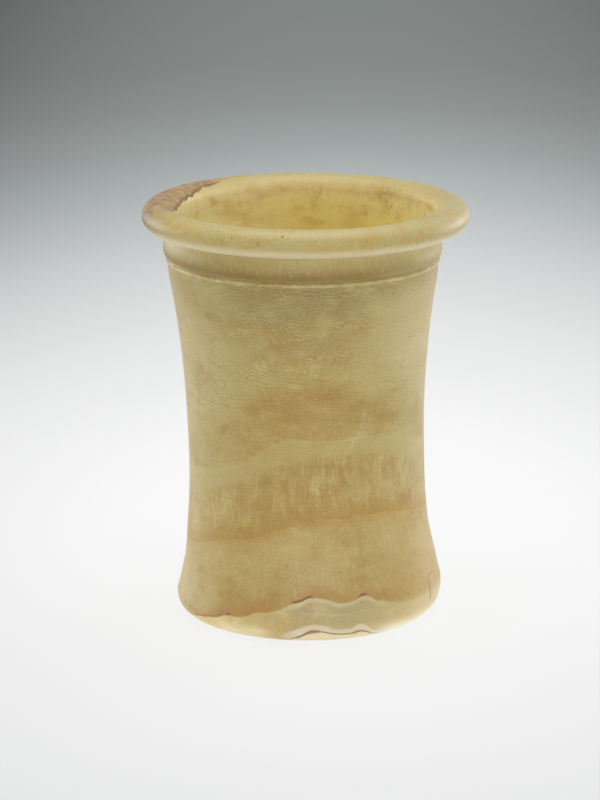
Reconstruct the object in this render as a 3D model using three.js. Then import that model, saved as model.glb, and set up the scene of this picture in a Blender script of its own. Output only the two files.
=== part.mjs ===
// Alabaster canopic jar: an open, waisted cylinder turned and bored from one block of banded travertine.
// Units are millimetres. +Z is up, the jar stands on the plane Z = 0, and the Z axis passes through the centre of
// the rim. The side with the dark patches on its foot faces -Y.
import * as THREE from "three";

// ---- driving dimensions ------------------------------------------------------------------------------------------
const HEIGHT = 200; // foot to top of rim

// Rim: a thick rounded roll turned outwards, an ellipse in section.
const RIM_CENTRE_R = 69.45; // radius of the circle through the roll's centre
const RIM_HALF_WIDTH = 7.84; // half the roll's thickness, across
const RIM_HALF_HEIGHT = 6.68; // half the roll's thickness, up and down
const RIM_Z = HEIGHT - RIM_HALF_HEIGHT;

// Neck band: a plain raised collar under the roll, rounded in at its lower edge to a narrow groove.
const BAND_TOP_Z = 186.4;
const BAND_R = 65.5;
const BEAD_Z = 178.4; // the collar is fullest here, above its rounded lower edge
const BEAD_R = 66.05;
const GROOVE_Z = 174.2;
const GROOVE_R = 64.15;

// Cord ridge: a thin raised line just under the groove, at the top edge of the body.
const CORD_Z = 172.6;
const CORD_HALF_HEIGHT = 1.0;
const CORD_RISE = 0.45;

// Body: narrowest at the waist, flaring up to the neck and down to the foot.
const WAIST_Z = 77;
const WAIST_R = 56.25;
const UPPER_SPAN = 86.3; // height over which the upper flare is given
const UPPER_FLARE = 7.15; // radius gained over that height
const UPPER_POWER = 2.18;
const TOP_EASE = 0.55; // the flare eases off by this much just under the groove
const TOP_EASE_FROM_Z = 163;
const LOWER_SPAN = 56.8;
const LOWER_FLARE = 5.58;
const LOWER_POWER = 2.35;

// Foot: the splayed edge rounds under to a flat base. Wear makes the rounding taller on the +X side.
const FOOT_ROUND_Z = 13.6; // height at which the rounding begins
const FOOT_ROUND_WEAR = 3.4; // more than that on the +X side, less on the -X side
const FOOT_FLAT_R = 52.8; // radius of the flat underside
const FOOT_FLAT_WEAR = 1.5; // less than that on the +X side, more on the -X side

// Inside: bored out, narrowest at the waist and below it, opening towards the mouth.
const BORE_WAIST_R = 50.5;
const BORE_MOUTH_R = 61.4; // where the bore meets the roll
const BORE_MOUTH_Z = 187;
const BORE_POWER = 2.0;
const BORE_FOOT_R = 49.2; // bore radius just above the rounded inner corner
const FLOOR_Z = 14; // thickness of the bottom
const CORNER_R = 13; // radius of the corner between bore and floor

// The jar was worked by eye, so its centre line isn't quite straight.
const LEAN = 0.019; // sideways drift for each millimetre of height
const LEAN_ZERO_Z = 102.5; // height at which the centre line crosses X = 0
const FOOT_DRIFT = 1.03; // further drift of the splayed foot
const RIM_RETURN_FROM_Z = 181; // between these heights the centre line comes back to the rim's centre
const RIM_RETURN_TO_Z = 190;

// Facets.
const SEGMENTS = 60;
const FOOT_STEPS = 8;
const BODY_STEPS = 22;
const ROLL_STEP_DEG = 15;
const BORE_STEPS = 14;
const CORNER_STEPS = 5;

// ---- shape functions ---------------------------------------------------------------------------------------------
const clamp01 = (t) => Math.min(1, Math.max(0, t));
const smooth = (a, b, x) => {
  const t = clamp01((x - a) / (b - a));
  return t * t * (3 - 2 * t);
};
const mix = (a, b, t) => a + (b - a) * t;

// Radius of the body's wall at height z, without the foot's rounding.
function bodyRadius(z) {
  const up = Math.max(z - WAIST_Z, 0) / UPPER_SPAN;
  const low = Math.max(WAIST_Z - z, 0) / LOWER_SPAN;
  return (
    WAIST_R +
    UPPER_FLARE * up ** UPPER_POWER +
    LOWER_FLARE * low ** LOWER_POWER -
    TOP_EASE * smooth(TOP_EASE_FROM_Z, CORD_Z, z)
  );
}

// Radius of the bore at height z.
function boreRadius(z) {
  const up = Math.max(z - WAIST_Z, 0) / (BORE_MOUTH_Z - WAIST_Z);
  return (
    BORE_WAIST_R +
    (BORE_MOUTH_R - BORE_WAIST_R) * up ** BORE_POWER -
    (BORE_WAIST_R - BORE_FOOT_R) * (1 - smooth(FLOOR_Z, WAIST_Z, z))
  );
}

// Sideways offset of the centre line at height z.
function centreX(z) {
  const drift =
    LEAN * (LEAN_ZERO_Z - z) +
    FOOT_DRIFT * (1 - smooth(24, 48, z)) * smooth(-14, 14, z);
  return drift * (1 - smooth(RIM_RETURN_FROM_Z, RIM_RETURN_TO_Z, z));
}

// Section of the jar on the side that faces angle theta: from the middle of the underside, up the outside, over the
// rim and down the bore to the middle of the floor. Every section has the same number of points.
function section(theta) {
  const points = [];
  const add = (r, z) => points.push(new THREE.Vector2(r, z));
  const worn = Math.cos(theta);

  // foot
  const flat = FOOT_FLAT_R - FOOT_FLAT_WEAR * worn;
  const round = FOOT_ROUND_Z + FOOT_ROUND_WEAR * worn;
  add(0, 0);
  add(flat, 0);
  for (let i = 1; i <= FOOT_STEPS; i++) {
    const a = (i / FOOT_STEPS) * (Math.PI / 2);
    const z = round * (1 - Math.cos(a));
    add(mix(flat, mix(bodyRadius(round), bodyRadius(z), 0.35), Math.sin(a)), z);
  }

  // body, cord ridge and groove
  const bodyTop = CORD_Z - CORD_HALF_HEIGHT;
  for (let i = 1; i <= BODY_STEPS; i++) {
    const z = mix(round, bodyTop, i / BODY_STEPS);
    add(bodyRadius(z), z);
  }
  add(bodyRadius(CORD_Z) + CORD_RISE, CORD_Z);
  add(GROOVE_R, GROOVE_Z);

  // collar
  for (let i = 1; i <= 3; i++) {
    const a = (i / 3) * (Math.PI / 2);
    add(mix(GROOVE_R, BEAD_R, Math.sin(a)), mix(GROOVE_Z, BEAD_Z, 1 - Math.cos(a)));
  }
  for (let i = 1; i <= 2; i++)
    add(mix(BEAD_R, BAND_R, i / 2), mix(BEAD_Z, BAND_TOP_Z, i / 2));

  // roll
  for (let deg = -105; deg <= 180; deg += ROLL_STEP_DEG) {
    const a = (deg * Math.PI) / 180;
    add(RIM_CENTRE_R + RIM_HALF_WIDTH * Math.cos(a), RIM_Z + RIM_HALF_HEIGHT * Math.sin(a));
  }

  // bore, corner and floor
  for (let i = 0; i <= BORE_STEPS; i++) {
    const z = mix(BORE_MOUTH_Z, FLOOR_Z + CORNER_R, i / BORE_STEPS);
    add(boreRadius(z), z);
  }
  const cornerR = boreRadius(FLOOR_Z + CORNER_R) - CORNER_R;
  for (let i = 1; i <= CORNER_STEPS; i++) {
    const a = (i / CORNER_STEPS) * (Math.PI / 2);
    add(cornerR + CORNER_R * Math.cos(a), FLOOR_Z + CORNER_R * (1 - Math.sin(a)));
  }
  add(0, FLOOR_Z);
  return points;
}

// ---- solid -------------------------------------------------------------------------------------------------------
const shell = new THREE.LatheGeometry(section(Math.PI / 2), SEGMENTS);
shell.rotateX(Math.PI / 2);

// The lathe turns one section round the axis. Each of its columns is then set to the section for its own side, and
// moved to the centre line.
const rows = section(0).length;
const p = shell.getAttribute("position");
for (let column = 0; column <= SEGMENTS; column++) {
  const turn = ((column % SEGMENTS) / SEGMENTS) * 2 * Math.PI;
  const theta = turn - Math.PI / 2; // the lathe's first column faces -Y once it stands upright
  section(theta).forEach((q, row) => {
    p.setXYZ(
      column * rows + row,
      q.x * Math.cos(theta) + centreX(q.y),
      q.x * Math.sin(theta),
      q.y,
    );
  });
}
shell.deleteAttribute("normal");
shell.computeVertexNormals();

const alabaster = new THREE.MeshStandardMaterial({
  name: "alabaster",
  color: new THREE.Color(0.72, 0.61, 0.4),
  roughness: 0.42,
  metalness: 0,
});

const jar = new THREE.Mesh(shell, alabaster);
jar.name = "jar";

const group = new THREE.Group();
group.name = "alabaster_canopic_jar";
group.add(jar);

export default group;
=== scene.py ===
"""Alabaster canopic jar: the looks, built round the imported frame. Everything is in metres in the frame's own axes;
the shape functions work in millimetres and are scaled when the mesh is made."""

import math

import bpy
import numpy as np
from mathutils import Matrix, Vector


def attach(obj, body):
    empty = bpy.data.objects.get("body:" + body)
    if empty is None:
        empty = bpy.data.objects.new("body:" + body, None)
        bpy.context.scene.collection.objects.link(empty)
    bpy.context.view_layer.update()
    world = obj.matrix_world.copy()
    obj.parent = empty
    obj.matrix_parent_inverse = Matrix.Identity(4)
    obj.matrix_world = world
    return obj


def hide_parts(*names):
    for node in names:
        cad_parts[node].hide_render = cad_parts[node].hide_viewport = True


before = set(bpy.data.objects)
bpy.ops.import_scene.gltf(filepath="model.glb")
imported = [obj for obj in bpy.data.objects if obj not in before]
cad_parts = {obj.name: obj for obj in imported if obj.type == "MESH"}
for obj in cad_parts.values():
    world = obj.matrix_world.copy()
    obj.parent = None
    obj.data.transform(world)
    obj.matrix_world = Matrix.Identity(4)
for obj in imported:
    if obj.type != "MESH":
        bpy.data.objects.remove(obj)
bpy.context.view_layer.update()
MM = 0.001

# ==== camera ======================================================================================================
TARGET_Z = 0.10284
DISTANCE = 1.7208
ELEVATION = 0.2496
cam_data = bpy.data.cameras.new("camera")
cam_data.lens = 162.0
cam_data.sensor_width = 36.0
cam_data.clip_start = 0.05
cam_data.clip_end = 60.0
cam = bpy.data.objects.new("camera", cam_data)
bpy.context.scene.collection.objects.link(cam)
cam.location = (
    -0.00263,
    -DISTANCE * math.cos(ELEVATION),
    TARGET_Z + DISTANCE * math.sin(ELEVATION),
)
cam.rotation_euler = (math.pi / 2 - ELEVATION, 0.0, 0.0)
bpy.context.scene.camera = cam

# ==== shape: the same named sizes and functions as the construction model, in millimetres ===========================
HEIGHT = 200.0
RIM_CENTRE_R, RIM_HALF_WIDTH, RIM_HALF_HEIGHT = 69.45, 7.84, 6.68
RIM_Z = HEIGHT - RIM_HALF_HEIGHT
BAND_TOP_Z, BAND_R = 186.4, 65.5
BEAD_Z, BEAD_R = 178.4, 66.05
GROOVE_Z, GROOVE_R = 174.2, 64.15
CORD_Z, CORD_RISE = 172.6, 0.45
WAIST_Z, WAIST_R = 77.0, 56.25
UPPER_SPAN, UPPER_FLARE, UPPER_POWER = 86.3, 7.15, 2.18
TOP_EASE, TOP_EASE_FROM_Z = 0.55, 163.0
LOWER_SPAN, LOWER_FLARE, LOWER_POWER = 56.8, 5.58, 2.35
FOOT_ROUND_Z, FOOT_ROUND_WEAR = 13.6, 3.4
FOOT_FLAT_R, FOOT_FLAT_WEAR = 52.8, 1.5
BORE_WAIST_R, BORE_MOUTH_R, BORE_MOUTH_Z, BORE_POWER = 50.5, 61.4, 187.0, 2.0
BORE_FOOT_R, FLOOR_Z, CORNER_R = 49.2, 14.0, 13.0
LEAN, LEAN_ZERO_Z, FOOT_DRIFT = 0.019, 102.5, 1.03
RIM_RETURN_FROM_Z, RIM_RETURN_TO_Z = 181.0, 190.0


def smooth(a, b, x):
    t = np.clip((np.asarray(x, float) - a) / (b - a), 0, 1)
    return t * t * (3 - 2 * t)


def mix(a, b, t):
    return a + (b - a) * t


def body_radius(z):
    z = np.asarray(z, float)
    up = np.maximum(z - WAIST_Z, 0) / UPPER_SPAN
    low = np.maximum(WAIST_Z - z, 0) / LOWER_SPAN
    return (
        WAIST_R
        + UPPER_FLARE * up**UPPER_POWER
        + LOWER_FLARE * low**LOWER_POWER
        - TOP_EASE * smooth(TOP_EASE_FROM_Z, CORD_Z, z)
    )


def bore_radius(z):
    z = np.asarray(z, float)
    up = np.maximum(z - WAIST_Z, 0) / (BORE_MOUTH_Z - WAIST_Z)
    return (
        BORE_WAIST_R
        + (BORE_MOUTH_R - BORE_WAIST_R) * up**BORE_POWER
        - (BORE_WAIST_R - BORE_FOOT_R) * (1 - smooth(FLOOR_Z, WAIST_Z, z))
    )


def centre_x(z):
    z = np.asarray(z, float)
    drift = LEAN * (LEAN_ZERO_Z - z) + FOOT_DRIFT * (1 - smooth(24, 48, z)) * smooth(
        -14, 14, z
    )
    return drift * (1 - smooth(RIM_RETURN_FROM_Z, RIM_RETURN_TO_Z, z))


def waves(theta, z, terms):
    """A gentle unevenness: a sum of (amplitude, turns, height wavelength, phase) ripples, seamless round the jar."""
    out = 0.0
    for amp, turns, length, phase in terms:
        out = out + amp * np.sin(turns * theta + 2 * np.pi * z / length + phase)
    return out


HAND = (
    (0.10, 2, 310.0, 0.4),
    (0.07, 3, -190.0, 2.1),
    (0.05, 5, 120.0, 4.4),
    (0.035, 7, -74.0, 1.2),
    (0.025, 11, 51.0, 5.0),
)
SEGMENTS = 416
theta = np.arange(SEGMENTS) / SEGMENTS * 2 * np.pi - np.pi / 2
worn = np.cos(theta)
rows_r, rows_z, rows_in = [], [], []


def add_row(r, z, inside=0.0):
    rows_r.append(np.broadcast_to(np.asarray(r, float), theta.shape).copy())
    rows_z.append(np.broadcast_to(np.asarray(z, float), theta.shape).copy())
    rows_in.append(inside)


flat = FOOT_FLAT_R - FOOT_FLAT_WEAR * worn
rnd = FOOT_ROUND_Z + FOOT_ROUND_WEAR * worn
for share in (0.35, 0.7, 0.93):
    add_row(flat * share, 0.0)
add_row(flat - 1.2, 0.0)
FOOT_ROWS = 26
for i in range(FOOT_ROWS + 1):
    a = (i / FOOT_ROWS) * (math.pi / 2)
    z = rnd * (1 - math.cos(a))
    r = mix(flat, mix(body_radius(rnd), body_radius(z), 0.35), math.sin(a))
    add_row(r, z)
BODY_ROWS = 92
body_top = 169.0
for i in range(1, BODY_ROWS + 1):
    z = mix(rnd, body_top, i / BODY_ROWS)
    add_row(body_radius(z) + waves(theta, z, HAND) * smooth(0, 10, i), z)


def cord_shape(z):
    """Height of the twisted cord line above the body's top edge, at the angles theta."""
    twist = 0.5 + 0.5 * np.sin(61 * theta + 2.6 * (z - CORD_Z) + 1.5 * np.sin(5 * theta))
    rough = waves(theta, z, ((0.25, 23, 9.0, 0.0), (0.2, 37, -6.0, 1.0), (0.15, 9, 30.0, 2.0)))
    return np.exp(-(((z - CORD_Z) / 0.62) ** 2)) * CORD_RISE * (0.75 + 0.5 * twist + rough)


for z in np.concatenate([np.arange(169.6, 174.21, 0.33), [GROOVE_Z + 0.05]]):
    base = body_radius(z) + waves(theta, z, HAND)
    notch = mix(base, GROOVE_R, smooth(CORD_Z + 0.4, GROOVE_Z - 0.1, z))
    add_row(notch + cord_shape(z), z)
for i in range(1, 13):
    a = (i / 12) * (math.pi / 2)
    add_row(
        mix(GROOVE_R, BEAD_R, math.sin(a)) + 0.7 * waves(theta, 178.0, HAND) * math.sin(a),
        mix(GROOVE_Z, BEAD_Z, 1 - math.cos(a)) + 0.05 * math.cos(a),
    )
for i in range(1, 9):
    add_row(
        mix(BEAD_R, BAND_R, i / 8) + 0.7 * waves(theta, 178.0, HAND) * (1 - i / 8),
        mix(BEAD_Z, BAND_TOP_Z, i / 8),
    )
for deg in np.arange(-105, 181, 7.5):
    a = math.radians(deg)
    add_row(
        RIM_CENTRE_R + RIM_HALF_WIDTH * math.cos(a),
        RIM_Z + RIM_HALF_HEIGHT * math.sin(a),
        inside=float(smooth(90, 180, deg)),
    )
BORE_ROWS = 26
for i in range(BORE_ROWS + 1):
    z = mix(BORE_MOUTH_Z + 1.5, FLOOR_Z + CORNER_R, i / BORE_ROWS)
    add_row(bore_radius(min(z, BORE_MOUTH_Z)) + 0.1 * (z > BORE_MOUTH_Z), z, 1.0)
corner_r = float(bore_radius(FLOOR_Z + CORNER_R)) - CORNER_R
for i in range(1, 9):
    a = (i / 8) * (math.pi / 2)
    add_row(corner_r + CORNER_R * math.cos(a), FLOOR_Z + CORNER_R * (1 - math.sin(a)), 1.0)
for share in (0.66, 0.33):
    add_row(corner_r * share, FLOOR_Z, 1.0)

R = np.array(rows_r)
Z = np.array(rows_z)
INSIDE = np.repeat(np.array(rows_in)[:, None], SEGMENTS, 1)


def to_xyz(r, z):
    return np.stack([r * np.cos(theta) + centre_x(z), r * np.sin(theta) + 0 * z, z], -1)


P = to_xyz(R, Z)
rows = len(R)
verts = np.vstack(
    [
        P.reshape(-1, 3),
        [[float(centre_x(0)), 0, 0]],
        [[float(centre_x(FLOOR_Z)), 0, FLOOR_Z]],
    ]
)
faces = []
for i in range(rows - 1):
    a0, b0 = i * SEGMENTS, (i + 1) * SEGMENTS
    for j in range(SEGMENTS):
        k = (j + 1) % SEGMENTS
        faces.append((a0 + j, a0 + k, b0 + k, b0 + j))
bottom_centre, floor_centre = rows * SEGMENTS, rows * SEGMENTS + 1
last = (rows - 1) * SEGMENTS
for j in range(SEGMENTS):
    k = (j + 1) % SEGMENTS
    faces.append((bottom_centre, k, j))
    faces.append((floor_centre, last + j, last + k))

mesh = bpy.data.meshes.new("jar_stone")
mesh.from_pydata((verts * MM).tolist(), [], faces)
mesh.update()
for poly in mesh.polygons:
    poly.use_smooth = True
att = mesh.attributes.new("inside", "FLOAT", "POINT")
att.data.foreach_set("value", np.concatenate([INSIDE.reshape(-1), [0.0, 1.0]]).astype(np.float32))
jar = bpy.data.objects.new("jar_stone", mesh)
bpy.context.scene.collection.objects.link(jar)

# ==== material ====================================================================================================
def srgb(r, g, b):
    """A colour named in 0-255 display values, as linear RGBA."""
    lin = [((c / 255 + 0.055) / 1.055) ** 2.4 if c > 10 else c / 255 / 12.92 for c in (r, g, b)]
    return (*lin, 1.0)


class Graph:
    """Short names for the shader nodes the stone is painted with."""

    def __init__(self, tree):
        self.tree = tree

    def add(self, kind, **props):
        node = self.tree.nodes.new(kind)
        for key, value in props.items():
            setattr(node, key, value)
        return node

    def put(self, socket, value):
        if isinstance(value, bpy.types.NodeSocket):
            self.tree.links.new(value, socket)
        else:
            socket.default_value = value

    def math(self, op, a, b=0.0, c=0.0, clamp=False):
        node = self.add("ShaderNodeMath", operation=op, use_clamp=clamp)
        for socket, value in zip(node.inputs, (a, b, c)):
            self.put(socket, value)
        return node.outputs[0]

    def plus(self, a, b):
        return self.math("ADD", a, b)

    def minus(self, a, b):
        return self.math("SUBTRACT", a, b)

    def times(self, a, *more):
        for b in more:
            a = self.math("MULTIPLY", a, b)
        return a

    def muladd(self, a, b, c):
        return self.math("MULTIPLY_ADD", a, b, c)

    def inv(self, a):
        return self.math("SUBTRACT", 1.0, a, clamp=True)

    def maximum(self, a, *more):
        for b in more:
            a = self.math("MAXIMUM", a, b)
        return a

    def step(self, x, a, b):
        """0 where x is at a, 1 where x is at b, eased between."""
        node = self.add("ShaderNodeMapRange", interpolation_type="SMOOTHSTEP")
        for name, value in (("Value", x), ("From Min", a), ("From Max", b)):
            self.put(node.inputs[name], value)
        return node.outputs["Result"]

    def part(self, x, a, b):
        """The same, straight between."""
        node = self.add("ShaderNodeMapRange")
        for name, value in (("Value", x), ("From Min", a), ("From Max", b)):
            self.put(node.inputs[name], value)
        return node.outputs["Result"]

    def bell(self, x, centre, half):
        """1 at the centre, falling to 0 at half either side."""
        d = self.math("ABSOLUTE", self.minus(x, centre))
        return self.step(d, half, 0.0)

    def vec(self, x, y, z):
        node = self.add("ShaderNodeCombineXYZ")
        for socket, value in zip(node.inputs, (x, y, z)):
            self.put(socket, value)
        return node.outputs[0]

    def scaled(self, v, x, y, z):
        node = self.add("ShaderNodeVectorMath", operation="MULTIPLY")
        self.put(node.inputs[0], v)
        node.inputs[1].default_value = (x, y, z)
        return node.outputs[0]

    def moved(self, v, x, y, z):
        node = self.add("ShaderNodeVectorMath", operation="ADD")
        self.put(node.inputs[0], v)
        node.inputs[1].default_value = (x, y, z)
        return node.outputs[0]

    def noise(self, v, detail=2.0, rough=0.5, twist=0.0):
        """Fractal noise, about -1..1, at one turn per unit of v."""
        node = self.add("ShaderNodeTexNoise", noise_dimensions="3D")
        self.put(node.inputs["Vector"], v)
        node.inputs["Scale"].default_value = 1.0
        node.inputs["Detail"].default_value = detail
        node.inputs["Roughness"].default_value = rough
        node.inputs["Distortion"].default_value = twist
        return self.muladd(node.outputs[0], 3.0, -1.5)

    def curve(self, x, points, lo=-70.0, hi=70.0, top=210.0):
        """The height of a bed at x, drawn smoothly through its (x, z) points."""
        node = self.add("ShaderNodeFloatCurve")
        c = node.mapping.curves[0]
        pts = [((px - lo) / (hi - lo), pz / top) for px, pz in points]
        c.points[0].location, c.points[1].location = pts[0], pts[-1]
        for p in pts[1:-1]:
            c.points.new(*p)
        node.mapping.update()
        self.put(node.inputs["Value"], self.part(x, lo, hi))
        return self.times(node.outputs[0], top)

    def ramp(self, x, stops, mode="LINEAR"):
        """A colour along x through (position, colour) stops."""
        lo, hi = stops[0][0], stops[-1][0]
        node = self.add("ShaderNodeValToRGB")
        node.color_ramp.interpolation = mode
        el = node.color_ramp.elements
        el[0].position, el[0].color = 0.0, stops[0][1]
        el[1].position, el[1].color = 1.0, stops[-1][1]
        for pos, colour in stops[1:-1]:
            e = el.new((pos - lo) / (hi - lo))
            e.color = colour
        self.put(node.inputs["Fac"], self.part(x, lo, hi))
        return node.outputs["Color"]

    def mix(self, fac, a, b, how="MIX"):
        node = self.add("ShaderNodeMix", data_type="RGBA", blend_type=how, clamp_factor=True)
        self.put(node.inputs[0], fac)
        self.put(node.inputs[6], a)
        self.put(node.inputs[7], b)
        return node.outputs[2]


FOOT_BED = (
    (-70, 1.5), (-57.9, 3.2), (-52.7, 4.8), (-49.2, 6.5), (-42.4, 8.7), (-37, 11.1), (-31.8, 11.4), (-27.5, 12.5),
    (-23.3, 14.5), (-17.2, 15.6), (-10.6, 18.0), (-6.4, 20.1), (-2.2, 21.1), (1.9, 22.9), (4.9, 22.9), (10.1, 21.9),
    (14.3, 20.4), (18.9, 20.0), (23.1, 21.1), (27.4, 22.6), (30.2, 21.7), (33, 19.6), (36.4, 18.7), (42.6, 16.9),
    (49.4, 16), (56.3, 16), (70, 15),
)
FOOT_INNER = ((-70, -6), (-20, 6), (-2.2, 14), (2.6, 16.1), (10.1, 15.3), (18, 14.9), (24.1, 15.5), (28.3, 15.8), (40, 10), (70, 6))
WHITE_BED = (
    (-70, -12), (-20, 1), (-7.9, 6.5), (-2.2, 8.4), (3.5, 10.4), (8.1, 9.8), (14.3, 7.5), (20.9, 7.3), (25.5, 9.3), (28.5, 8.3),
    (31.3, 5), (36.6, 2.4), (50, -4), (70, -12),
)
CRACK = (
    (-70, -14), (-20, -3), (-5.9, 2.9), (-2.2, 4.4), (1.4, 6.7), (3.9, 7.3), (7.7, 6.7), (14.3, 5.1), (21.4, 4.8), (25.2, 5.6),
    (27.5, 5.1), (32.8, 2.2), (45, -5), (70, -12),
)
RUST_BED = (
    (-70, 30), (-54.8, 37.5), (-42.8, 43.7), (-33.2, 46.8), (-28.5, 47.7), (-20, 50.8), (-16.3, 53), (-11.5, 54.3),
    (-6.8, 55.5), (-2.3, 57.6), (6.7, 59.3), (18, 58.8), (25.4, 59.9), (44.6, 58.2), (56.7, 53.5), (70, 47),
)
PALE_BOTTOM = ((-70, 60), (-54.7, 65), (-42, 69.5), (-30.2, 74.2), (-20.9, 80.5), (-6.8, 86), (6.7, 87.4), (17.8, 88.6), (27.2, 89.3), (44.3, 85.6), (55.5, 79.2), (70, 70))
PALE_TOP = (
    (-70, 68), (-54.6, 74.2), (-42.6, 79.1), (-33.1, 82.5), (-25.5, 87.6), (-16.1, 94.5), (-8.7, 97.7), (-2.2, 98), (6.6, 97.1),
    (16, 97.5), (27.2, 98.2), (44.3, 94.3), (54.4, 87.3), (70, 76),
)
GOLD_TOP = ((-70, 92), (-56.5, 99.3), (-30, 113.4), (-11.4, 121.1), (6.7, 123.1), (25.2, 123.8), (44.1, 118), (56.3, 108.8), (70, 98))


def alabaster():
    mat = bpy.data.materials.new("alabaster")
    mat.use_nodes = True
    g = Graph(mat.node_tree)
    bsdf = mat.node_tree.nodes["Principled BSDF"]
    coords = g.add("ShaderNodeTexCoord").outputs["Object"]
    P = g.scaled(coords, 1000, 1000, 1000)
    sep = g.add("ShaderNodeSeparateXYZ")
    g.put(sep.inputs[0], P)
    X, Y, Z = sep.outputs
    R = g.math("SQRT", g.plus(g.times(X, X), g.times(Y, Y)))
    inside = g.add("ShaderNodeAttribute", attribute_name="inside").outputs["Fac"]
    white = (1, 1, 1, 1)

    # the beds run through the block; behind the front they drift up and down a little
    away = g.step(Y, -8.0, 50.0)
    slow = g.noise(g.scaled(P, 1 / 46, 1 / 46, 1 / 90), 1.0)
    drift = g.times(away, g.muladd(slow, 9.0, 2.0))
    fine = g.noise(g.scaled(P, 1 / 7, 1 / 7, 1 / 7), 2.0)
    ZB = g.plus(g.minus(Z, drift), g.times(fine, 0.35))  # height measured against the beds
    foot, inner, whites, crack, rust, pale_lo, pale_hi, gold = (
        g.curve(X, c, top=t)
        for c, t in (
            (FOOT_BED, 60.0), (FOOT_INNER, 60.0), (WHITE_BED, 60.0), (CRACK, 60.0), (RUST_BED, 120.0),
            (PALE_BOTTOM, 120.0), (PALE_TOP, 120.0), (GOLD_TOP, 150.0),
        )
    )
    # stratum coordinate: 0 at the foot bed, 1 rust line, 2-3 pale band, 4 top of the golden band, 5 at z 150, 6 at the cord
    edges = [foot, rust, pale_lo, pale_hi, gold, 150.0, 172.6, 200.0]
    ZS = g.plus(ZB, g.times(fine, 1.2))
    s = g.part(ZS, edges[0], edges[1])
    for lo, hi in zip(edges[1:-1], edges[2:]):
        s = g.plus(s, g.part(ZS, lo, hi))

    # partly painted shade: both tone ramps darken from s 5 (z 150) up to s 6 at the cord, partly the stone's grey-brown
    # stratum and partly shade painted under the flared top and the collar
    centre_tone = g.ramp(s, [
        (0.0, srgb(177, 146, 92)), (0.16, srgb(180, 154, 104)), (0.35, srgb(183, 160, 108)), (0.62, srgb(186, 165, 112)),
        (0.88, srgb(184, 157, 97)), (1.04, srgb(177, 144, 78)), (1.35, srgb(179, 149, 84)), (1.7, srgb(176, 147, 81)),
        (2.0, srgb(177, 151, 92)), (2.3, srgb(183, 160, 106)), (2.95, srgb(183, 160, 106)), (3.05, srgb(179, 153, 94)),
        (3.5, srgb(175, 146, 79)), (3.95, srgb(176, 148, 84)), (4.2, srgb(180, 159, 103)), (4.7, srgb(175, 153, 101)),
        (5.0, srgb(172, 151, 97)), (5.4, srgb(162, 142, 92)), (5.9, srgb(157, 136, 87)), (6.1, srgb(174, 153, 103)), (6.4, srgb(178, 158, 104)),
        (7.0, srgb(194, 176, 127)),
    ])
    # painted light: the tone for the left and right of the body is paler and less yellow than the centre tone, standing
    # in for the brighter lit edges of the stone; the mask below blends it in towards the sides
    lit_side_tone = g.ramp(s, [
        (0.0, srgb(184, 162, 116)), (0.5, srgb(187, 166, 120)), (0.9, srgb(188, 164, 115)), (1.04, srgb(182, 155, 102)),
        (1.5, srgb(187, 166, 120)), (2.1, srgb(188, 169, 126)), (2.9, srgb(190, 173, 131)), (3.5, srgb(184, 165, 118)),
        (4.0, srgb(194, 178, 138)), (4.6, srgb(195, 180, 140)), (5.2, srgb(184, 166, 120)), (5.9, srgb(178, 161, 118)),
        (6.1, srgb(178, 162, 120)), (7.0, srgb(189, 174, 131)),
    ])
    side = g.step(g.math("ABSOLUTE", g.plus(X, g.times(slow, 8.0))), 8.0, 56.0)
    colour = g.mix(side, centre_tone, lit_side_tone)

    cloud = g.noise(g.scaled(P, 1 / 19, 1 / 19, 1 / 11), 3.0, 0.6)
    patch = g.noise(g.scaled(g.moved(P, 40, 9, 3), 1 / 9, 1 / 9, 1 / 5), 2.5, 0.6)
    # growth laminae: fine wavy lines, zigzag where the crystals stand up
    turned = g.math("ARCTAN2", X, g.times(Y, -1.0))
    fold = g.muladd(turned, 100 / math.pi, g.times(g.noise(g.scaled(P, 1 / 14, 1 / 14, 1 / 22), 2.0, 0.6), 3.2))
    zig = g.minus(g.times(g.math("PINGPONG", fold, 1.0), 2.0), 1.0)
    zig = g.times(zig, g.step(g.noise(g.scaled(P, 1 / 9, 1 / 9, 1 / 8), 2.0), -0.9, 0.5))
    swirl = g.noise(g.scaled(P, 1 / 21, 1 / 21, 1 / 13), 1.5, 0.5)
    up = g.step(s, 2.6, 5.0)
    ruffled = g.times(g.bell(Z, 149.0, 24.0), g.step(cloud, -0.9, 0.3))
    lam_h = g.plus(Z, g.plus(g.times(zig, g.muladd(ruffled, 0.5, 0.28)), g.times(swirl, g.muladd(up, 2.6, 2.0))))
    upturned = g.times(g.step(X, -42.0, -62.0), g.step(Z, 118.0, 166.0), g.step(Z, 172.0, 168.0))
    lam_h = g.plus(lam_h, g.times(upturned, g.minus(X, -60.0), 1.6))
    lam = g.math("SINE", g.times(g.plus(lam_h, g.times(fine, 0.35)), 2 * math.pi / 1.48))
    lam_patch = g.step(g.noise(g.scaled(P, 1 / 8, 1 / 8, 1 / 4.5), 2.5, 0.6), -0.75, 0.45)
    lam_amount = g.times(lam_patch, g.muladd(g.step(s, 3.2, 4.6), 0.72, 0.28), g.step(Z, 176.5, 172.5))
    lam_amount = g.times(lam_amount, g.step(s, 0.1, 1.2))
    lam_light = g.times(g.math("MAXIMUM", lam, 0.0), lam_amount)
    lam_dark = g.times(g.math("MAXIMUM", g.times(lam, -1.0), 0.0), lam_amount)
    colour = g.mix(g.times(lam_light, 0.30), colour, srgb(208, 194, 154))
    colour = g.mix(g.times(lam_dark, 0.22), colour, srgb(128, 102, 44))

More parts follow.
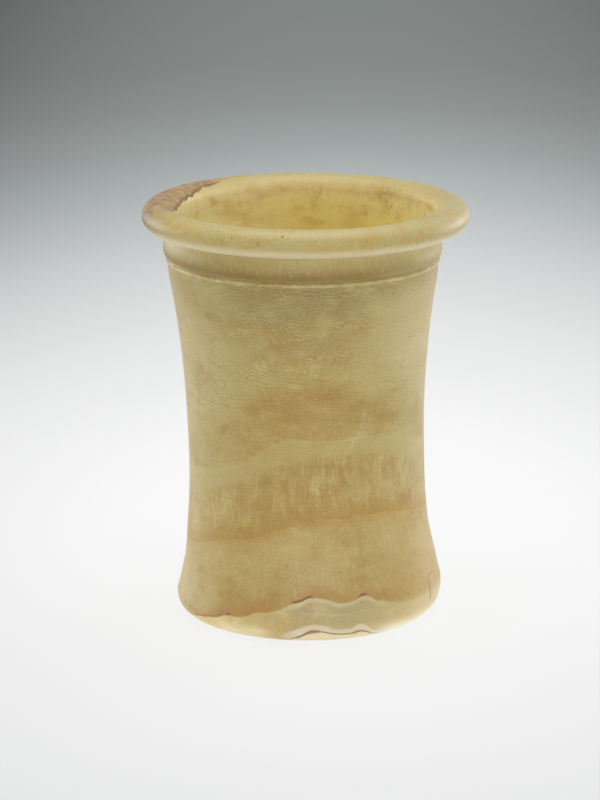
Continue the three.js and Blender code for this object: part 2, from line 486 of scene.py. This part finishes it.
    # upright fibres between the rust line and the pale band
    lean = g.vec(g.plus(X, g.times(Z, g.muladd(slow, 0.2, 0.05))), Y, Z)
    fib = g.noise(g.scaled(lean, 1 / 1.25, 1 / 1.25, 1 / 10), 3.0, 0.65)
    fib_wide = g.noise(g.scaled(lean, 1 / 4.2, 1 / 4.2, 1 / 14), 2.0)
    in_fib = g.times(g.step(s, 1.0, 1.4), g.step(s, 2.35, 1.85))
    pale_fib = g.times(g.step(g.plus(fib, fib_wide), -0.05, 0.95), in_fib)
    dark_fib = g.times(g.step(g.minus(g.times(fib_wide, -0.8), fib), -0.05, 0.9), g.times(g.step(s, 0.98, 1.2), g.step(s, 2.45, 1.9)))
    colour = g.mix(g.times(pale_fib, 0.42), colour, srgb(207, 192, 148))
    colour = g.mix(g.times(dark_fib, 0.42), colour, srgb(156, 122, 46))
    weak_fib = g.times(g.step(fib, 0.0, 0.8), g.inv(in_fib), g.step(Z, 172.0, 168.0))
    colour = g.mix(g.times(weak_fib, g.muladd(g.step(s, 1.1, 0.8), 0.2, 0.24)), colour, srgb(208, 194, 155))

    # soft clouding of the whole stone and a fine grain
    colour = g.mix(g.times(g.step(cloud, 0.0, 0.7), 0.36), colour, srgb(198, 184, 138))
    colour = g.mix(g.times(g.step(cloud, 0.0, -0.7), 0.46), colour, srgb(164, 130, 48))
    colour = g.mix(g.times(g.step(patch, 0.1, 0.8), 0.26), colour, srgb(210, 194, 148))
    colour = g.mix(g.times(g.step(patch, -0.1, -0.8), 0.28), colour, srgb(152, 122, 52))
    grain = g.noise(g.scaled(P, 1 / 1.5, 1 / 1.5, 1 / 1.4), 3.0, 0.75)
    colour = g.mix(g.times(g.step(grain, 0.0, 0.8), g.muladd(g.step(cloud, -0.5, 0.6), 0.22, 0.16)), colour, srgb(214, 200, 162))
    colour = g.mix(g.times(g.step(grain, 0.0, -0.8), g.muladd(g.step(cloud, 0.5, -0.6), 0.24, 0.13)), colour, srgb(134, 106, 48))

    right_pale = g.times(g.step(X, 12.0, 46.0), g.step(Z, 112.0, 140.0), g.step(Z, 172.0, 160.0))
    colour = g.mix(g.times(right_pale, 0.3), colour, srgb(214, 200, 168))

    # rust line and the warm glow on it
    dr = g.minus(ZB, rust)
    glow = g.times(g.step(dr, -0.6, 0.4), g.step(dr, 7.5, 0.8), g.muladd(cloud, 0.25, 0.75))
    colour = g.mix(g.times(glow, 0.44), colour, srgb(172, 134, 48))
    line = g.times(g.bell(dr, -0.2, 0.6), g.step(cloud, -0.8, 0.2))
    colour = g.mix(g.times(line, 0.45), colour, srgb(202, 160, 84))

    # pale band: crisp light line on its top edge, soft bottom
    dp = g.minus(ZB, pale_hi)
    colour = g.mix(g.times(g.bell(dp, -0.5, 1.1), g.step(cloud, -0.9, 0.6), 0.34), colour, srgb(204, 188, 144))
    colour = g.mix(g.times(g.step(dp, 0.9, -0.9), g.step(g.plus(g.minus(ZB, pale_lo), g.times(fib, 4.0)), -4.0, 4.0), 0.26), colour, srgb(192, 175, 128))

    # foot: a clear greenish band with milky lines under the foot bed
    df = g.minus(ZB, foot)
    soft = g.muladd(g.step(X, 30.0, 46.0), 3.2, 0.35)
    below = g.step(df, soft, g.times(soft, -1.0))
    foot_tone = g.ramp(X, [
        (-60.0, srgb(215, 196, 156)), (-42.0, srgb(212, 192, 150)), (-27.0, srgb(196, 174, 127)), (-14.0, srgb(188, 166, 123)), (0.0, srgb(177, 159, 121)),
        (22.0, srgb(179, 163, 126)), (34.0, srgb(187, 169, 132)), (44.0, srgb(196, 174, 134)), (58.0, srgb(206, 188, 156)),
    ], "EASE")
    foot_tone = g.mix(g.times(g.step(cloud, -0.1, 0.7), 0.35), foot_tone, srgb(214, 202, 168))
    foot_patch = g.noise(g.scaled(P, 1 / 7, 1 / 7, 1 / 3.5), 2.5, 0.6)
    foot_tone = g.mix(g.times(g.step(foot_patch, 0.0, 0.7), g.step(X, 20, -12), 0.6), foot_tone, srgb(196, 160, 92))
    foot_tone = g.mix(g.times(g.step(foot_patch, 0.0, -0.7), g.step(X, 26, -6), 0.5), foot_tone, srgb(222, 207, 166))
    foot_tone = g.mix(g.times(g.step(grain, 0.0, 0.8), 0.25), foot_tone, srgb(218, 206, 174))
    foot_tone = g.mix(g.times(g.step(grain, 0.0, -0.8), 0.2), foot_tone, srgb(160, 136, 88))
    colour = g.mix(below, colour, foot_tone)
    middle = g.times(g.step(X, -16.0, -2.0), g.step(X, 46.0, 30.0))
    rim_line = g.times(g.step(df, 0.35, -0.7), g.step(df, -3.0, -1.0), g.maximum(middle, g.times(g.step(X, -50, -38), 0.25)))
    colour = g.mix(g.times(rim_line, g.muladd(cloud, 0.25, 0.5)), colour, srgb(209, 202, 178))
    di = g.minus(ZB, inner)
    colour = g.mix(g.times(g.bell(di, 0.0, 0.7), g.step(X, -8, 0), g.step(X, 36, 28), 0.3), colour, srgb(202, 188, 154))
    dw = g.minus(ZB, whites)
    wband = g.times(g.step(g.plus(dw, g.times(grain, 0.7)), 0.9, -0.5), g.step(g.minus(ZB, crack), -0.1, 0.7), g.step(X, -15, -4), g.step(X, 44, 33))
    colour = g.mix(g.times(wband, 0.56), colour, srgb(224, 218, 222))
    # the brown parting under the white bed, and the peach stone below it
    dc = g.minus(ZB, crack)
    under = g.times(g.step(dc, 0.2, -0.6), g.step(X, -14, -6), g.step(X, 44, 34))
    colour = g.mix(g.times(under, 0.85), colour, srgb(230, 214, 196))
    thick = g.maximum(g.times(g.step(X, -8, -1), g.step(X, 9, 4)), g.times(g.step(X, 19, 24), g.step(X, 34, 30), 0.9), 0.3)
    wide = g.times(thick, g.muladd(fine, 0.7, 1.2))
    parting = g.times(g.step(g.math("ABSOLUTE", g.plus(dc, g.times(wide, 0.25))), g.plus(wide, 0.25), g.times(wide, 0.3)), g.step(X, -9, -6), g.step(X, 36, 31.5))
    colour = g.mix(g.times(parting, 0.8), colour, g.mix(g.step(X, 14, 24), srgb(134, 80, 16), srgb(146, 104, 16)))
    # a hairline low on the left of the foot
    hair_z = g.muladd(X, -0.155, 0.55)
    hair = g.times(g.bell(g.plus(Z, g.times(fine, 0.3)), hair_z, 0.42), g.step(Y, 0, -20), g.step(X, -36, -33), g.step(X, -6, -9))
    colour = g.mix(g.times(hair, 0.5), colour, srgb(140, 106, 56))
    # painted light: the clear stone is painted almost white low on the right, standing in for light from below glowing
    # through it
    glow_low_right = g.times(below, g.step(X, 26, 42), g.step(Z, 10.0, 2.0), g.step(Y, 10, -10))
    colour = g.mix(g.times(glow_low_right, 0.85), colour, srgb(244, 240, 232))

    # painted light: the base is painted paler low on the left, standing in for light from below glowing through the
    # stone
    glow_low_left = g.times(below, g.step(X, -12, -24), g.step(Z, 11.0, 4.0), g.step(X, -46, -36), g.step(Y, 10, -10))
    colour = g.mix(g.times(glow_low_left, 0.5), colour, srgb(240, 230, 212))

    # orange-brown soak above the foot bed and its maroon spots
    soak = g.times(g.step(df, -0.2, 0.5), g.step(df, 8.5, 0.5), g.muladd(cloud, 0.35, 0.6))
    soak_where = g.maximum(g.times(g.step(X, -50, -38), g.step(X, -6, -18)), g.times(g.step(X, -12, -2), g.step(X, 52, 40), 0.85), 0.25)
    colour = g.mix(g.times(soak, soak_where, 0.66), colour, srgb(176, 124, 54))
    low_left = g.times(g.step(X, -46, -36), g.step(X, -4, -20), g.step(df, 22.0, 3.0), g.step(df, -0.3, 0.4))
    colour = g.mix(g.times(low_left, 0.35), colour, srgb(172, 130, 66))
    low_right = g.times(g.step(X, 24, 44), g.step(Z, 12.0, 20.0), g.step(Z, 46.0, 30.0), g.step(df, 0.0, 3.0), g.step(Y, 10, -10))
    colour = g.mix(g.times(low_right, 0.28), colour, srgb(178, 136, 66))
    mark = g.step(g.math("ABSOLUTE", g.minus(df, 0.55)), g.muladd(grain, 0.3, 0.95), 0.1)
    spots = g.maximum(
        g.times(g.step(X, -53, -51), g.step(X, -38, -41), 0.55),
        g.times(g.bell(X, -51.5, 1.6), 0.8),
        g.times(g.bell(X, -36.5, 2.0), 0.9),
        g.times(g.step(X, -8.5, -4.5), g.step(X, 5.0, 1.5)),
        g.times(g.step(X, 23.5, 26.0), g.step(X, 29.6, 27.6)),
    )
    colour = g.mix(g.times(mark, spots, 0.84), colour, srgb(116, 62, 28))
    plum = g.times(g.step(X, -47, -42), g.step(X, -36, -38), g.step(df, -0.2, 0.3), g.step(df, 5.5, 1.0))
    colour = g.mix(g.times(plum, 0.4), colour, srgb(164, 124, 100))

    # the short forked crack at the right of the foot
    fork_x = g.curve(Z, ((8, 61.0), (12.6, 59.6), (14.7, 59.5), (17, 59.2), (19.2, 58.9), (22.4, 58.4), (23.2, 59.2), (26, 61.5)), 8.0, 26.0, 70.0)
    fork = g.times(g.step(Y, -12, -16), g.step(Z, 10.5, 12.5), g.step(Z, 24.0, 23.2), g.bell(g.plus(X, g.times(fine, 0.25)), fork_x, 0.42))
    fork = g.maximum(fork, g.times(g.step(Y, -12, -16), g.bell(Z, g.muladd(X, 0.25, 8.1), 0.45), g.step(X, 58.0, 58.8), g.step(X, 61.4, 60.4)))
    colour = g.mix(g.times(fork, 0.7), colour, srgb(140, 84, 26))
    # upper stone: pale feathery flecks in two broken rows and a slanting vein
    fleck_n = g.noise(g.scaled(lean, 1 / 2.0, 1 / 2.0, 1 / 4.5), 2.0, 0.7)
    fleck_row = g.maximum(g.bell(ZB, 133.0, 6.5), g.times(g.bell(ZB, 147.0, 7.0), 0.5), g.times(g.bell(g.minus(ZB, gold), 2.0, 5.0), 0.7))
    fleck_patch = g.times(g.step(patch, 0.0, 0.5), fleck_row)
    on_front = g.step(Y, 0.0, -15.0)
    for fx, fz, half, tall in ((-20, 131, 8, 7), (-9, 131, 4, 4), (4, 131, 5, 6), (42, 130, 8, 7), (-40, 119, 11, 6), (18, 128, 6, 4)):
        fleck_patch = g.maximum(fleck_patch, g.times(g.bell(X, fx, half), g.bell(Z, fz, tall), on_front))
    fleck = g.times(g.step(fleck_n, -0.05, 0.55), g.math("MINIMUM", g.times(fleck_patch, 1.5), 1.0))
    colour = g.mix(g.times(fleck, 0.36), colour, srgb(214, 204, 172))
    vein_x = g.ramp(Z, [(84.0, (16.5, 16.5, 16.5, 1)), (92.0, (20.6, 20.6, 20.6, 1)), (101.5, (25.3, 25.3, 25.3, 1)), (116.0, (27.8, 27.8, 27.8, 1))])
    vein = g.times(g.bell(g.plus(X, g.times(g.plus(fine, patch), 1.6)), vein_x, 2.6), g.step(Y, 0, -20), g.step(Z, 83, 88), g.step(Z, 118, 108))
    colour = g.mix(g.times(vein, g.step(g.plus(grain, patch), -0.7, 0.9), 0.42), colour, srgb(212, 202, 172))
    clump = g.times(g.bell(X, 5.5, 9.5), g.bell(Z, 73.0, 9.0), g.step(Y, 0, -20), g.step(g.plus(fib_wide, grain), -0.6, 0.8))
    colour = g.mix(g.times(clump, 0.5), colour, srgb(208, 194, 152))
    ymark_x = g.muladd(Z, -0.45, 39.2)
    ymark = g.times(g.bell(X, ymark_x, 1.0), g.bell(Z, 40.6, 4.6), g.step(Y, 0, -20))
    colour = g.mix(g.times(ymark, 0.6), colour, srgb(196, 145, 44))

    # collar: pale cord, painted shade in the groove, paler roll
    cord_z = g.plus(Z, g.times(fine, 0.8))
    on_neck = g.step(R, 62.0, 63.2)
    ridge = g.times(g.bell(g.plus(Z, g.times(fine, 0.45)), 172.9, 1.5), on_neck)
    smear = g.times(g.bell(cord_z, 170.6, 2.6), on_neck, g.step(patch, -0.3, 0.7))
    tick = g.math("SINE", g.plus(g.times(g.math("ARCTAN2", Y, X), 150.0), g.times(Z, 3.4)))
    chalk = g.step(g.plus(g.plus(g.times(fib_wide, 0.6), g.times(grain, 0.5)), g.times(tick, 0.55)), -0.9, 0.9)
    colour = g.mix(g.times(smear, chalk, 0.4), colour, srgb(206, 194, 158))
    colour = g.mix(g.times(ridge, g.muladd(chalk, 0.56, 0.12), g.muladd(g.step(g.plus(patch, g.times(fine, 0.6)), -0.8, 0.5), 0.75, 0.25)), colour, srgb(222, 212, 184))
    # painted shade: the groove under the bead is painted dark yellow-brown, standing in for the shade on the bead's
    # underside
    groove_shade = g.times(g.step(Z, 174.0, 175.4), g.step(Z, 181.5, 176.6), g.step(R, 62.0, 63.0), g.muladd(cloud, 0.35, 0.8), g.step(X, 84, 10))
    colour = g.mix(g.times(groove_shade, 0.86), colour, srgb(126, 95, 4))
    # painted shade: a faint darkening painted in the crease where the roll meets the neck
    under_roll_shade = g.times(g.bell(Z, 186.8, 1.8), g.step(R, 63.5, 64.5), g.step(R, 68.5, 66.0))
    colour = g.mix(g.times(under_roll_shade, 0.06), colour, srgb(128, 104, 56))
    neck = g.times(g.step(Z, 176.0, 178.5), g.step(Z, 187.6, 186.6), g.step(R, 63.0, 64.0))
    # painted light: the neck is painted paler and paler up towards the roll, standing in for light from below that
    # lifts the shade under the roll
    colour = g.mix(g.times(neck, g.muladd(g.step(Z, 180.0, 187.0), 0.44, 0.08)), colour, srgb(202, 189, 152))
    streak = g.noise(g.scaled(P, 1 / 1.6, 1 / 1.6, 1 / 6), 2.5, 0.6)
    colour = g.mix(g.times(neck, g.step(streak, 0.0, 0.8), 0.35), colour, srgb(206, 194, 156))

    roll = g.step(Z, 185.8, 187.6)
    roll = g.times(roll, g.step(R, 60.5, 62.5))
    colour = g.mix(g.times(roll, 0.5), colour, srgb(189, 173, 127))
    colour = g.mix(g.times(roll, g.step(patch, -0.1, 0.6), 0.62), colour, srgb(190, 162, 92))
    colour = g.mix(g.times(roll, g.step(patch, 0.1, -0.6), 0.45), colour, srgb(188, 180, 144))
    # painted shade: the roll is painted darker towards its left end and darkest on its front-left edge
    roll_left_shade = g.times(roll, g.step(X, -56.0, -77.0))
    colour = g.mix(g.times(roll_left_shade, 0.72), colour, srgb(150, 130, 86))
    colour = g.mix(g.times(roll, g.step(X, -69.0, -77.0), g.step(Y, 0.0, -12.0), 0.72), colour, srgb(112, 90, 52))
    right_end = g.times(roll, g.step(X, 46.0, 76.0))
    colour = g.mix(g.times(right_end, 0.42), colour, srgb(186, 174, 160))
    # painted highlight: the lower outer edge of the roll is painted pale, a bright line standing in for light from
    # below catching it
    lip_highlight = g.times(g.step(Z, 192.6, 188.6), g.step(R, 68.0, 71.5))
    colour = g.mix(g.times(lip_highlight, 0.6), colour, srgb(224, 215, 206))
    speck_n = g.noise(g.scaled(P, 1 / 1.7, 1 / 1.7, 1 / 1.7), 3.0, 0.7)
    specks = g.times(g.step(g.plus(speck_n, g.times(patch, 0.35)), 0.22, 0.85), g.step(Z, 176, 188))
    colour = g.mix(g.times(specks, 0.5), colour, srgb(136, 114, 74))
    scuffs = g.times(roll, g.step(grain, 0.0, 0.7))
    colour = g.mix(g.times(scuffs, 0.3), colour, srgb(216, 206, 176))

    # inside: golden, paler to the left and at the mouth, with brown soaks, specks and a few upright dark veins; painted
    # light: the inside is painted far paler than the same stone outside, standing in for light glowing through the wall
    inside_tone_glow = g.ramp(Z, [(14.0, srgb(232, 214, 150)), (120.0, srgb(236, 220, 152)), (178.0, srgb(240, 225, 156)), (184.0, srgb(240, 226, 164)), (190.0, srgb(244, 232, 184)), (195.0, srgb(230, 214, 168)), (199.0, srgb(200, 182, 132))])
    inside_tone_glow = g.mix(g.times(g.step(X, 5, -46), g.step(Z, 199, 194), 0.85), inside_tone_glow, srgb(246, 238, 212))
    inside_tone_glow = g.mix(g.times(g.step(cloud, 0.1, -0.7), 0.42), inside_tone_glow, srgb(206, 170, 82))
    inside_tone_glow = g.mix(g.times(g.step(streak, 0.0, 0.8), 0.3), inside_tone_glow, srgb(240, 230, 190))
    inside_tone_glow = g.mix(g.times(g.step(patch, 0.0, 0.7), 0.3), inside_tone_glow, srgb(246, 236, 196))
    inside_tone_glow = g.mix(g.times(g.step(patch, 0.0, -0.8), 0.4), inside_tone_glow, srgb(212, 174, 84))
    soot = g.times(g.maximum(g.times(g.bell(X, 5, 15), 0.8), g.times(g.bell(X, 42, 18), 1.0), 0.25), g.step(Z, 180, 188), g.step(Z, 199, 194))
    inside_tone_glow = g.mix(g.times(soot, g.step(g.plus(fib_wide, g.times(grain, 0.5)), -0.1, 0.8), 0.6), inside_tone_glow, srgb(178, 126, 48))
    inside_tone_glow = g.mix(g.times(soot, g.step(speck_n, 0.1, 0.8), 0.42), inside_tone_glow, srgb(150, 106, 44))
    vein_in = g.times(g.step(g.noise(g.scaled(P, 1 / 3.6, 1 / 3.6, 1 / 20), 2.0, 0.6), 0.35, 0.75), g.step(X, 12, 32), g.step(Z, 198, 193))
    inside_tone_glow = g.mix(g.times(vein_in, 0.5), inside_tone_glow, srgb(150, 108, 42))
    colour = g.mix(inside, colour, inside_tone_glow)

    # brown stain soaked into the roll at the left: a ragged dark inner edge, mauve and streaked outside it
    a0 = math.radians(161.0)
    along = g.plus(g.times(X, math.cos(a0)), g.times(Y, math.sin(a0)))
    across = g.minus(g.times(Y, math.cos(a0)), g.times(X, math.sin(a0)))
    turn = g.times(g.math("ARCTAN2", across, along), 180 / math.pi)
    round_roll = g.times(g.math("ARCTAN2", g.minus(Z, RIM_Z), g.minus(R, RIM_CENTRE_R)), 180 / math.pi)
    rag = g.noise(g.scaled(P, 1 / 3.2, 1 / 3.2, 1 / 3.2), 3.0, 0.7)
    edge = g.curve(turn, ((-45, 108), (-38, 116), (-33, 120), (-27, 132), (-21, 143), (-14, 151), (-8, 158), (2, 170), (13, 172), (30, 168), (45, 160)), -45.0, 45.0, 200.0)
    depth = g.plus(g.minus(edge, round_roll), g.plus(g.times(rag, 6.0), g.times(fine, 15.0)))
    front_end = g.plus(g.plus(g.muladd(g.step(round_roll, 0.0, 80.0), 12.0, 29.0), g.times(turn, -1.0)), g.times(rag, 3.0))
    back_end = g.plus(g.plus(turn, 37.0), g.times(rag, 8.0))
    on_roll = g.times(g.step(Z, 185.5, 188.5), g.step(R, 60.0, 61.0))
    held = g.times(on_roll, g.step(front_end, -0.6, 1.2), g.step(back_end, -2.0, 8.0), g.step(round_roll, -70.0, -40.0))
    stain = g.times(held, g.step(depth, -3.0, 5.0))
    streaks = g.noise(g.vec(g.plus(g.times(turn, 0.28), g.times(rag, 0.5)), g.times(round_roll, 0.02), 0.0), 2.5, 0.65)
    stain_tone = g.mix(g.step(streaks, -0.5, 0.5), srgb(146, 108, 74), srgb(188, 160, 132))
    stain_tone = g.mix(g.times(g.step(rag, 0.0, 0.9), 0.55), stain_tone, srgb(150, 112, 66))
    stain_tone = g.mix(g.times(g.step(patch, 0.1, 0.7), 0.5), stain_tone, srgb(176, 160, 120))
    stain_tone = g.mix(g.times(g.step(round_roll, 45.0, 5.0), 0.45), stain_tone, srgb(146, 110, 84))
    colour = g.mix(g.times(stain, 0.86), colour, stain_tone)
    wide_edge = g.muladd(g.step(turn, -30.0, 5.0), 4.0, 5.5)
    dark_edge = g.times(held, g.step(depth, -3.0, 2.0), g.step(depth, g.times(wide_edge, 2.0), g.times(wide_edge, 0.6)))
    edge_tone = g.mix(g.step(turn, -26.0, -33.0), srgb(120, 68, 0), srgb(196, 132, 58))
    colour = g.mix(g.times(dark_edge, g.muladd(g.step(g.plus(rag, streaks), -0.5, 0.5), 0.45, 0.50)), colour, edge_tone)
    end_line = g.times(held, g.step(front_end, 5.5, 1.5), g.step(round_roll, 60.0, 20.0))
    colour = g.mix(g.times(end_line, 0.7), colour, srgb(126, 88, 58))
    # small pits on the roll, painted as dark spots: painted shade standing in for the shade in the hollows, which the
    # mesh does not have
    for deg, pz, size in ((-98.0, 197.8, 0.34), (-106.0, 194.0, 0.2), (-116.0, 196.0, 0.18), (-62.0, 192.5, 0.15)):
        pr = RIM_CENTRE_R + RIM_HALF_WIDTH * math.sqrt(1 - ((pz - RIM_Z) / RIM_HALF_HEIGHT) ** 2)
        px, py = pr * math.cos(math.radians(deg)), pr * math.sin(math.radians(deg))
        dist = g.add("ShaderNodeVectorMath", operation="DISTANCE")
        g.put(dist.inputs[0], P)
        dist.inputs[1].default_value = (px, py, pz)
        colour = g.mix(g.times(g.step(dist.outputs["Value"], size * 2.0 + 0.3, size), 0.7), colour, srgb(112, 88, 52))

    colour = g.mix(1.0, colour, (0.99, 0.98, 0.765, 1), "MULTIPLY")
    g.put(bsdf.inputs["Base Color"], colour)
    bsdf.inputs["Coat Weight"].default_value = 0.16
    bsdf.inputs["Coat Roughness"].default_value = 0.42
    opaque = g.maximum(stain, g.times(mark, spots), parting, fork, hair)
    g.put(bsdf.inputs["Subsurface Weight"], g.muladd(opaque, -0.5, 0.6))
    bsdf.inputs["Subsurface Radius"].default_value = (1.0, 0.72, 0.36)
    bsdf.inputs["Subsurface Scale"].default_value = 0.010
    g.put(bsdf.inputs["Roughness"], g.muladd(g.step(cloud, -1.0, 1.0), 0.10, 0.44))
    bump = g.add("ShaderNodeBump")
    bump.inputs["Strength"].default_value = 0.22
    bump.inputs["Distance"].default_value = 0.0004
    g.put(bump.inputs["Height"], g.plus(g.plus(g.times(grain, 0.5), g.times(patch, 0.6)), g.times(lam, g.times(lam_amount, 0.3))))
    g.put(bsdf.inputs["Normal"], bump.outputs[0])
    return mat


mesh.materials.append(alabaster())

# ==== stage =======================================================================================================
scene = bpy.context.scene
scene.view_settings.view_transform = "Standard"
scene.view_settings.look = "None"


GLOW = (
    (0.00, 0.892, 0.891, 0.890), (0.09, 0.881, 0.881, 0.881), (0.22, 0.862, 0.862, 0.864), (0.37, 0.775, 0.777, 0.777),
    (0.54, 0.677, 0.688, 0.686), (0.72, 0.550, 0.567, 0.576), (0.91, 0.406, 0.434, 0.438), (1.11, 0.288, 0.315, 0.311),
    (1.32, 0.214, 0.236, 0.229), (1.54, 0.181, 0.200, 0.193), (2.00, 0.171, 0.190, 0.182),
)


def gradient_floor():
    """A matt pale sweep: a pool of light round the jar that falls off behind it and to the sides."""
    m = bpy.data.materials.new("stage_floor")
    m.use_nodes = True
    g = Graph(m.node_tree)
    b = m.node_tree.nodes["Principled BSDF"]
    b.inputs["Roughness"].default_value = 0.9
    b.inputs["Specular IOR Level"].default_value = 0.1
    b.inputs["Base Color"].default_value = (0.12, 0.12, 0.12, 1)
    sep = g.add("ShaderNodeSeparateXYZ")
    g.put(sep.inputs[0], g.add("ShaderNodeTexCoord").outputs["Object"])
    X, Y, _ = sep.outputs
    dx, dy = g.times(g.minus(X, 0.023), 1.745), g.minus(Y, 0.135)
    reach = g.math("SQRT", g.plus(g.times(dx, dx), g.times(dy, dy)))
    pool = g.ramp(reach, [(d, (*c, 1.0)) for d, *c in GLOW])
    off = g.minus(X, 0.043)
    side_fall = g.math("MINIMUM", g.times(off, off, 4.27), 0.56)
    sides = g.minus(1.0, g.times(g.step(Y, 0.247, 1.147), side_fall))
    near = g.mix(1.0, pool, g.vec(sides, sides, sides), "MULTIPLY")
    g.put(b.inputs["Emission Color"], g.mix(g.step(reach, 2.1, 5.0), near, (0.33, 0.34, 0.35, 1)))
    b.inputs["Emission Strength"].default_value = 0.93
    return m


bpy.ops.mesh.primitive_plane_add(size=14.0, location=(0, 0, -0.0002))
floor = bpy.context.object
floor.name = "stage_floor"
floor.data.materials.append(gradient_floor())

world = bpy.data.worlds.new("studio")
scene.world = world
world.use_nodes = True
world.node_tree.nodes["Background"].inputs["Color"].default_value = (0.95, 0.97, 1.0, 1)
world.node_tree.nodes["Background"].inputs["Strength"].default_value = 0.35


def area(name, loc, target, size, power, colour=(1, 1, 1)):
    d = bpy.data.lights.new(name, "AREA")
    d.shape = "RECTANGLE"
    d.size, d.size_y = size
    d.energy = power
    d.color = colour
    o = bpy.data.objects.new(name, d)
    scene.collection.objects.link(o)
    o.location = loc
    v = Vector(target) - Vector(loc)
    o.rotation_euler = v.to_track_quat("-Z", "Y").to_euler()
    o.visible_camera = False
    return o


side_left = area("side_left", (-1.25, -0.62, 0.12), (0, 0, 0.13), (1.1, 0.8), 5.8)
side_right = area("side_right", (1.25, -0.62, 0.12), (0, 0, 0.13), (1.1, 0.8), 6.9)
side_left.visible_glossy = side_right.visible_glossy = False
area("front_low", (0.0, -1.9, 0.12), (0, 0, 0.10), (2.0, 0.6), 12)
area("rear_left", (-1.0, 0.75, 0.25), (0, 0, 0.12), (0.7, 0.5), 4.5)
area("rear_right", (1.0, 0.75, 0.25), (0, 0, 0.12), (0.7, 0.5), 4.5)
area("top", (0, 0.1, 1.6), (0, 0, 0.1), (1.4, 1.4), 17)

# ==== finish ======================================================================================================
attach(jar, "root")
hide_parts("jar")
